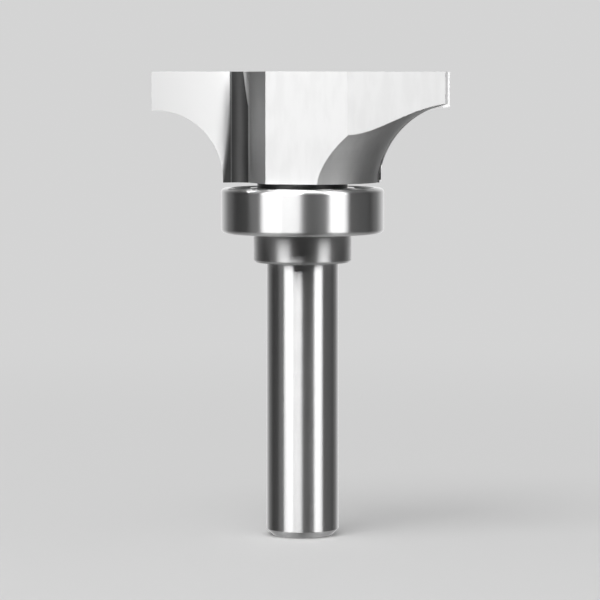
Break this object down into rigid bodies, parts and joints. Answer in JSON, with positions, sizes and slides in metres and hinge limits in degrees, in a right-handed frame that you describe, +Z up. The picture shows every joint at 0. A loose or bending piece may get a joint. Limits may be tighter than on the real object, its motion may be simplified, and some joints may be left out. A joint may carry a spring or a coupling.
{
  "type": "bullnose router bit",
  "caption": "Router bit with a concave quarter-round profile, carbide tips, a guide bearing above the shank and a stop collar.",
  "frame": {"origin": "centre of the shank's end face, on which the bit stands", "axes": "+Z up the axis to the head; the cutting edges lie in the XZ plane"},
  "size_m": [0.054, 0.0318, 0.0813],
  "materials": {
    "tool_steel": "ground",
    "carbide": "fine ground",
    "braze": "as flowed",
    "spacer_steel": "dark",
    "ring_steel": "polished",
    "shield_steel": "pressed",
    "cage_steel": "pressed",
    "ball_steel": "polished",
    "collar_steel": "turned",
    "screw_steel": "black"
  },
  "bodies": {
    "bit": {"cutter_body": "tool_steel", "carbide_tip_1": "carbide", "carbide_tip_2": "carbide", "braze_1": "braze", "braze_2": "braze", "spacer_washer": "spacer_steel", "bearing_inner_ring": "ring_steel", "stop_collar": "collar_steel", "set_screw": "screw_steel"},
    "outer_race": {"bearing_outer_ring": "ring_steel", "bearing_shield_upper": "shield_steel", "bearing_shield_lower": "shield_steel"},
    "cage": {"cage_half_upper": "cage_steel", "cage_half_lower": "cage_steel", "cage_rivets": "cage_steel"},
    "ball_1": {"ball_1": "ball_steel"},
    "ball_2": {"ball_2": "ball_steel"},
    "ball_3": {"ball_3": "ball_steel"},
    "ball_4": {"ball_4": "ball_steel"},
    "ball_5": {"ball_5": "ball_steel"},
    "ball_6": {"ball_6": "ball_steel"},
    "ball_7": {"ball_7": "ball_steel"},
    "ball_8": {"ball_8": "ball_steel"},
    "ball_9": {"ball_9": "ball_steel"},
    "ball_10": {"ball_10": "ball_steel"}
  },
  "joints": [
    {"name": "guide_spin", "type": "hinge", "parent": "bit", "child": "outer_race", "pos_m": [0, 0, 0.05708], "axis": [0, 0, 1], "continuous": true},
    {"name": "cage_spin", "type": "hinge", "parent": "bit", "child": "cage", "pos_m": [0, 0, 0.05708], "axis": [0, 0, 1], "continuous": true},
    {"name": "ball_1_spin", "type": "hinge", "parent": "cage", "child": "ball_1", "pos_m": [0.01033, 0, 0.05708], "axis": [0, 0, 1], "continuous": true},
    {"name": "ball_2_spin", "type": "hinge", "parent": "cage", "child": "ball_2", "pos_m": [0.00835, 0.00607, 0.05708], "axis": [0, 0, 1], "continuous": true},
    {"name": "ball_3_spin", "type": "hinge", "parent": "cage", "child": "ball_3", "pos_m": [0.00319, 0.00982, 0.05708], "axis": [0, 0, 1], "continuous": true},
    {"name": "ball_4_spin", "type": "hinge", "parent": "cage", "child": "ball_4", "pos_m": [-0.00319, 0.00982, 0.05708], "axis": [0, 0, 1], "continuous": true},
    {"name": "ball_5_spin", "type": "hinge", "parent": "cage", "child": "ball_5", "pos_m": [-0.00835, 0.00607, 0.05708], "axis": [0, 0, 1], "continuous": true},
    {"name": "ball_6_spin", "type": "hinge", "parent": "cage", "child": "ball_6", "pos_m": [-0.01033, 0, 0.05708], "axis": [0, 0, 1], "continuous": true},
    {"name": "ball_7_spin", "type": "hinge", "parent": "cage", "child": "ball_7", "pos_m": [-0.00835, -0.00607, 0.05708], "axis": [0, 0, 1], "continuous": true},
    {"name": "ball_8_spin", "type": "hinge", "parent": "cage", "child": "ball_8", "pos_m": [-0.00319, -0.00982, 0.05708], "axis": [0, 0, 1], "continuous": true},
    {"name": "ball_9_spin", "type": "hinge", "parent": "cage", "child": "ball_9", "pos_m": [0.00319, -0.00982, 0.05708], "axis": [0, 0, 1], "continuous": true},
    {"name": "ball_10_spin", "type": "hinge", "parent": "cage", "child": "ball_10", "pos_m": [0.00835, -0.00607, 0.05708], "axis": [0, 0, 1], "continuous": true}
  ],
  "couplings": [
    {"joint": "cage_spin", "follows": "guide_spin", "ratio": 0.59609},
    {"joint": "ball_1_spin", "follows": "guide_spin", "ratio": 2.5056},
    {"joint": "ball_2_spin", "follows": "guide_spin", "ratio": 2.5056},
    {"joint": "ball_3_spin", "follows": "guide_spin", "ratio": 2.5056},
    {"joint": "ball_4_spin", "follows": "guide_spin", "ratio": 2.5056},
    {"joint": "ball_5_spin", "follows": "guide_spin", "ratio": 2.5056},
    {"joint": "ball_6_spin", "follows": "guide_spin", "ratio": 2.5056},
    {"joint": "ball_7_spin", "follows": "guide_spin", "ratio": 2.5056},
    {"joint": "ball_8_spin", "follows": "guide_spin", "ratio": 2.5056},
    {"joint": "ball_9_spin", "follows": "guide_spin", "ratio": 2.5056},
    {"joint": "ball_10_spin", "follows": "guide_spin", "ratio": 2.5056}
  ]
}
